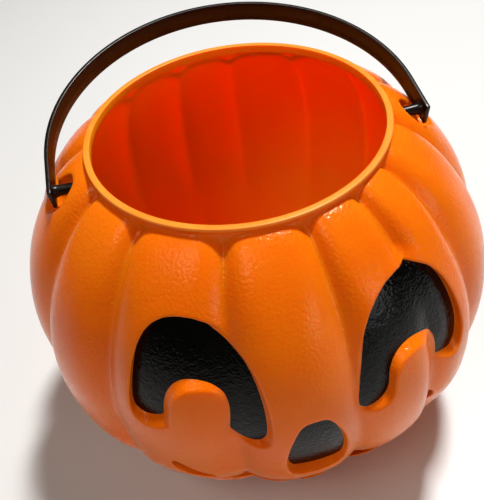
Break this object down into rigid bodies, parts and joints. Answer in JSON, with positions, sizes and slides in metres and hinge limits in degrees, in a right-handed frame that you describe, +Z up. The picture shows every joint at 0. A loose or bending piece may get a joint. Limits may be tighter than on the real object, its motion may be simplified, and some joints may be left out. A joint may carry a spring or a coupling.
{
  "type": "candy pail",
  "caption": "Lobed pumpkin-shaped candy pail with a sunken, painted jack-o'-lantern face, an open round mouth and a hinged strap handle.",
  "frame": {"origin": "centre of the base, on the surface that the pail stands on", "axes": "+Z up; the face looks to -Y; the handle hinges about the X axis and lies back towards +Y"},
  "size_m": [0.2308, 0.2302, 0.1929],
  "materials": {
    "orange_plastic": "semi-gloss blow-moulded polyethylene with a fine pebbled skin",
    "black_plastic": "semi-gloss injection-moulded polypropylene, near-black brown",
    "black_paint": "thin semi-gloss black paint with a fine grain"
  },
  "bodies": {
    "pail": {"pail_shell": "orange_plastic", "left_eye_paint": "black_paint", "right_eye_paint": "black_paint", "nose_paint": "black_paint", "grin_paint": "black_paint"},
    "handle": {"carry_handle": "black_plastic"}
  },
  "joints": [
    {"name": "handle_hinge", "type": "hinge", "parent": "pail", "child": "handle", "pos_m": [0, -0.006, 0.17074], "axis": [1, 0, 0], "range_deg": [0, 158]}
  ]
}
